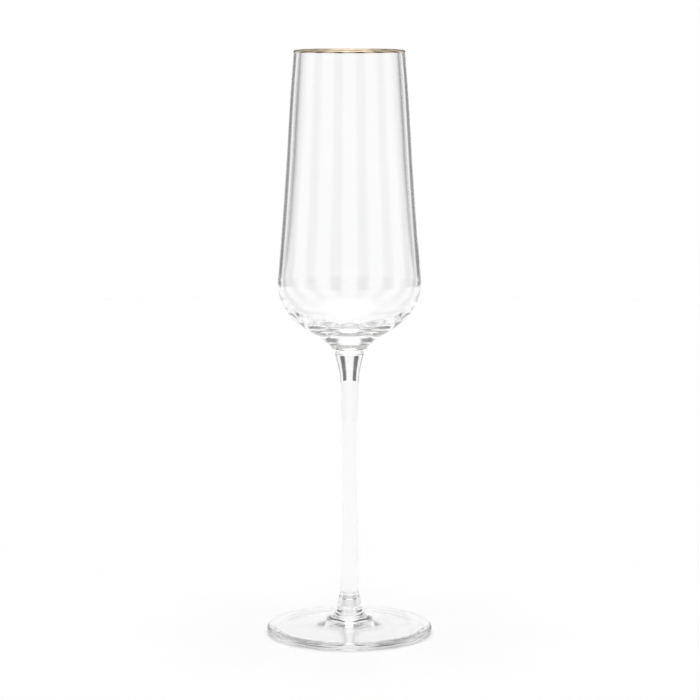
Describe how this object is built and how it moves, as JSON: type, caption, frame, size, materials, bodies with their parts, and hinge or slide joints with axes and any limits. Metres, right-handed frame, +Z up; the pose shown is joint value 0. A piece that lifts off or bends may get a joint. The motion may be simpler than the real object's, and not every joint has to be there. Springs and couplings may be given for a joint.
{
  "type": "champagne flute",
  "caption": "Tall stemmed flute of clear thin glass with a tapering bowl, a slim drawn stem, a round foot and a thin gold band on the lip.",
  "frame": {"origin": "centre of the foot's resting plane, on the glass's axis", "axes": "+Z up along the stem, out of the mouth; the glass is round about it, so X and Y are alike"},
  "size_m": [0.0712, 0.0712, 0.25],
  "materials": {
    "bowl_glass": "clear polished glass, smooth inside and out",
    "stem_glass": "clear solid glass, fire polished",
    "foot_glass": "clear solid glass, fire polished",
    "gold": "fired bright gold lustre, very slightly worn on the lip"
  },
  "bodies": {
    "root": {"bowl": "bowl_glass", "stem": "stem_glass", "foot": "foot_glass", "gold_rim": "gold"}
  },
  "joints": []
}
